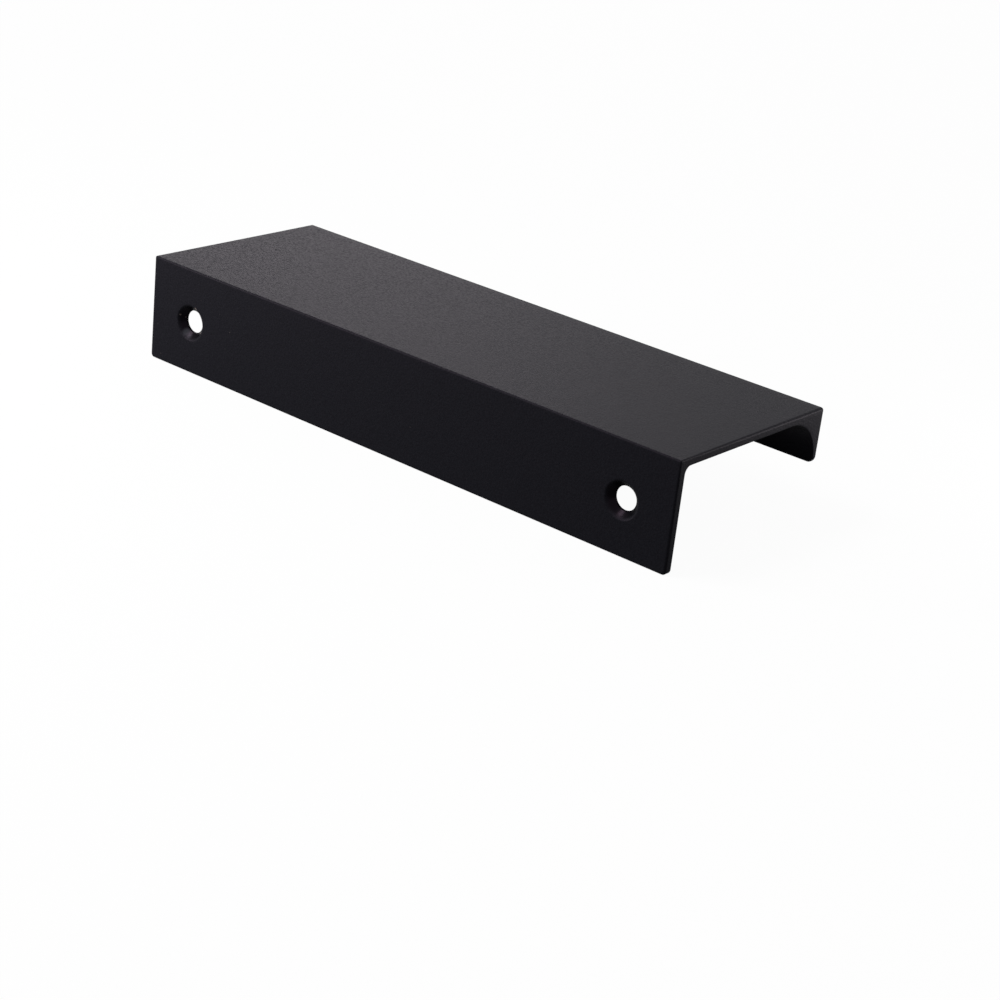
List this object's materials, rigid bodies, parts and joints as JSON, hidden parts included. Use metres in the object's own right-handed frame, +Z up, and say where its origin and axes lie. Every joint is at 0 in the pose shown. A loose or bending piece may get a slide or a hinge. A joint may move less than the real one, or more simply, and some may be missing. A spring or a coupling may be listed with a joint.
{
  "type": "edge pull",
  "caption": "Edge pull for a drawer front or door: a flat plate with a countersunk screw flange behind and a short, hollowed finger lip in front.",
  "frame": {"origin": "midway between the two screw holes, on the flange face that lies against the door", "axes": "+X along the door's edge, +Y from the door's back face out towards the user, +Z up out of the door's edge"},
  "size_m": [0.1154, 0.0395, 0.0189],
  "materials": {
    "powder_coat": "matt black powder coat with a fine grain, on extruded aluminium"
  },
  "bodies": {
    "root": {"edge_pull": "powder_coat"}
  },
  "joints": []
}
